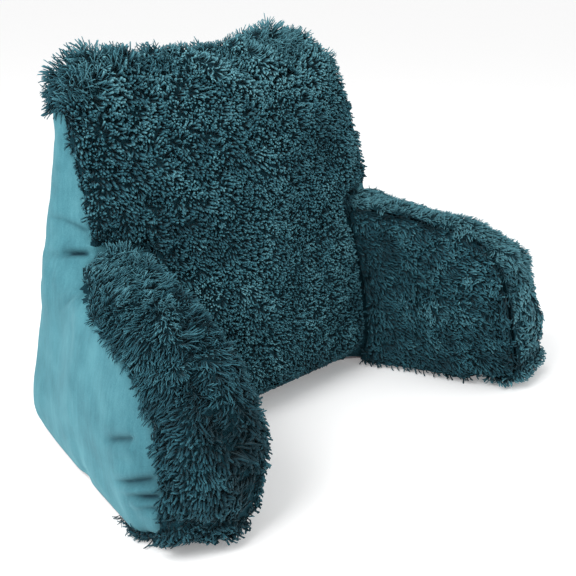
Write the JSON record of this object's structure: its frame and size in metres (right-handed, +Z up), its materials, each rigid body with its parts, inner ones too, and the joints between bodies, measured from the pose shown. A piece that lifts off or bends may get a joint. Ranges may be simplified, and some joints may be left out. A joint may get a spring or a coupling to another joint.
{
  "type": "reading pillow",
  "caption": "Wedge-shaped backrest cushion with two short arms, plain velour sides and a long-pile fur front.",
  "frame": {"origin": "middle of the pillow's footprint, on the floor", "axes": "+Z up, the pillow faces -Y, +X to the right seen from the front"},
  "size_m": [0.7244, 0.3976, 0.4583],
  "materials": {
    "velour": "soft short-pile velour",
    "fur": "long-pile fur"
  },
  "bodies": {
    "root": {"backrest": "velour", "arm_left": "velour", "arm_right": "velour", "fur_front_panel": "fur", "fur_band_left": "fur", "fur_band_right": "fur", "fur_inner_left": "fur", "fur_inner_right": "fur"}
  },
  "joints": []
}
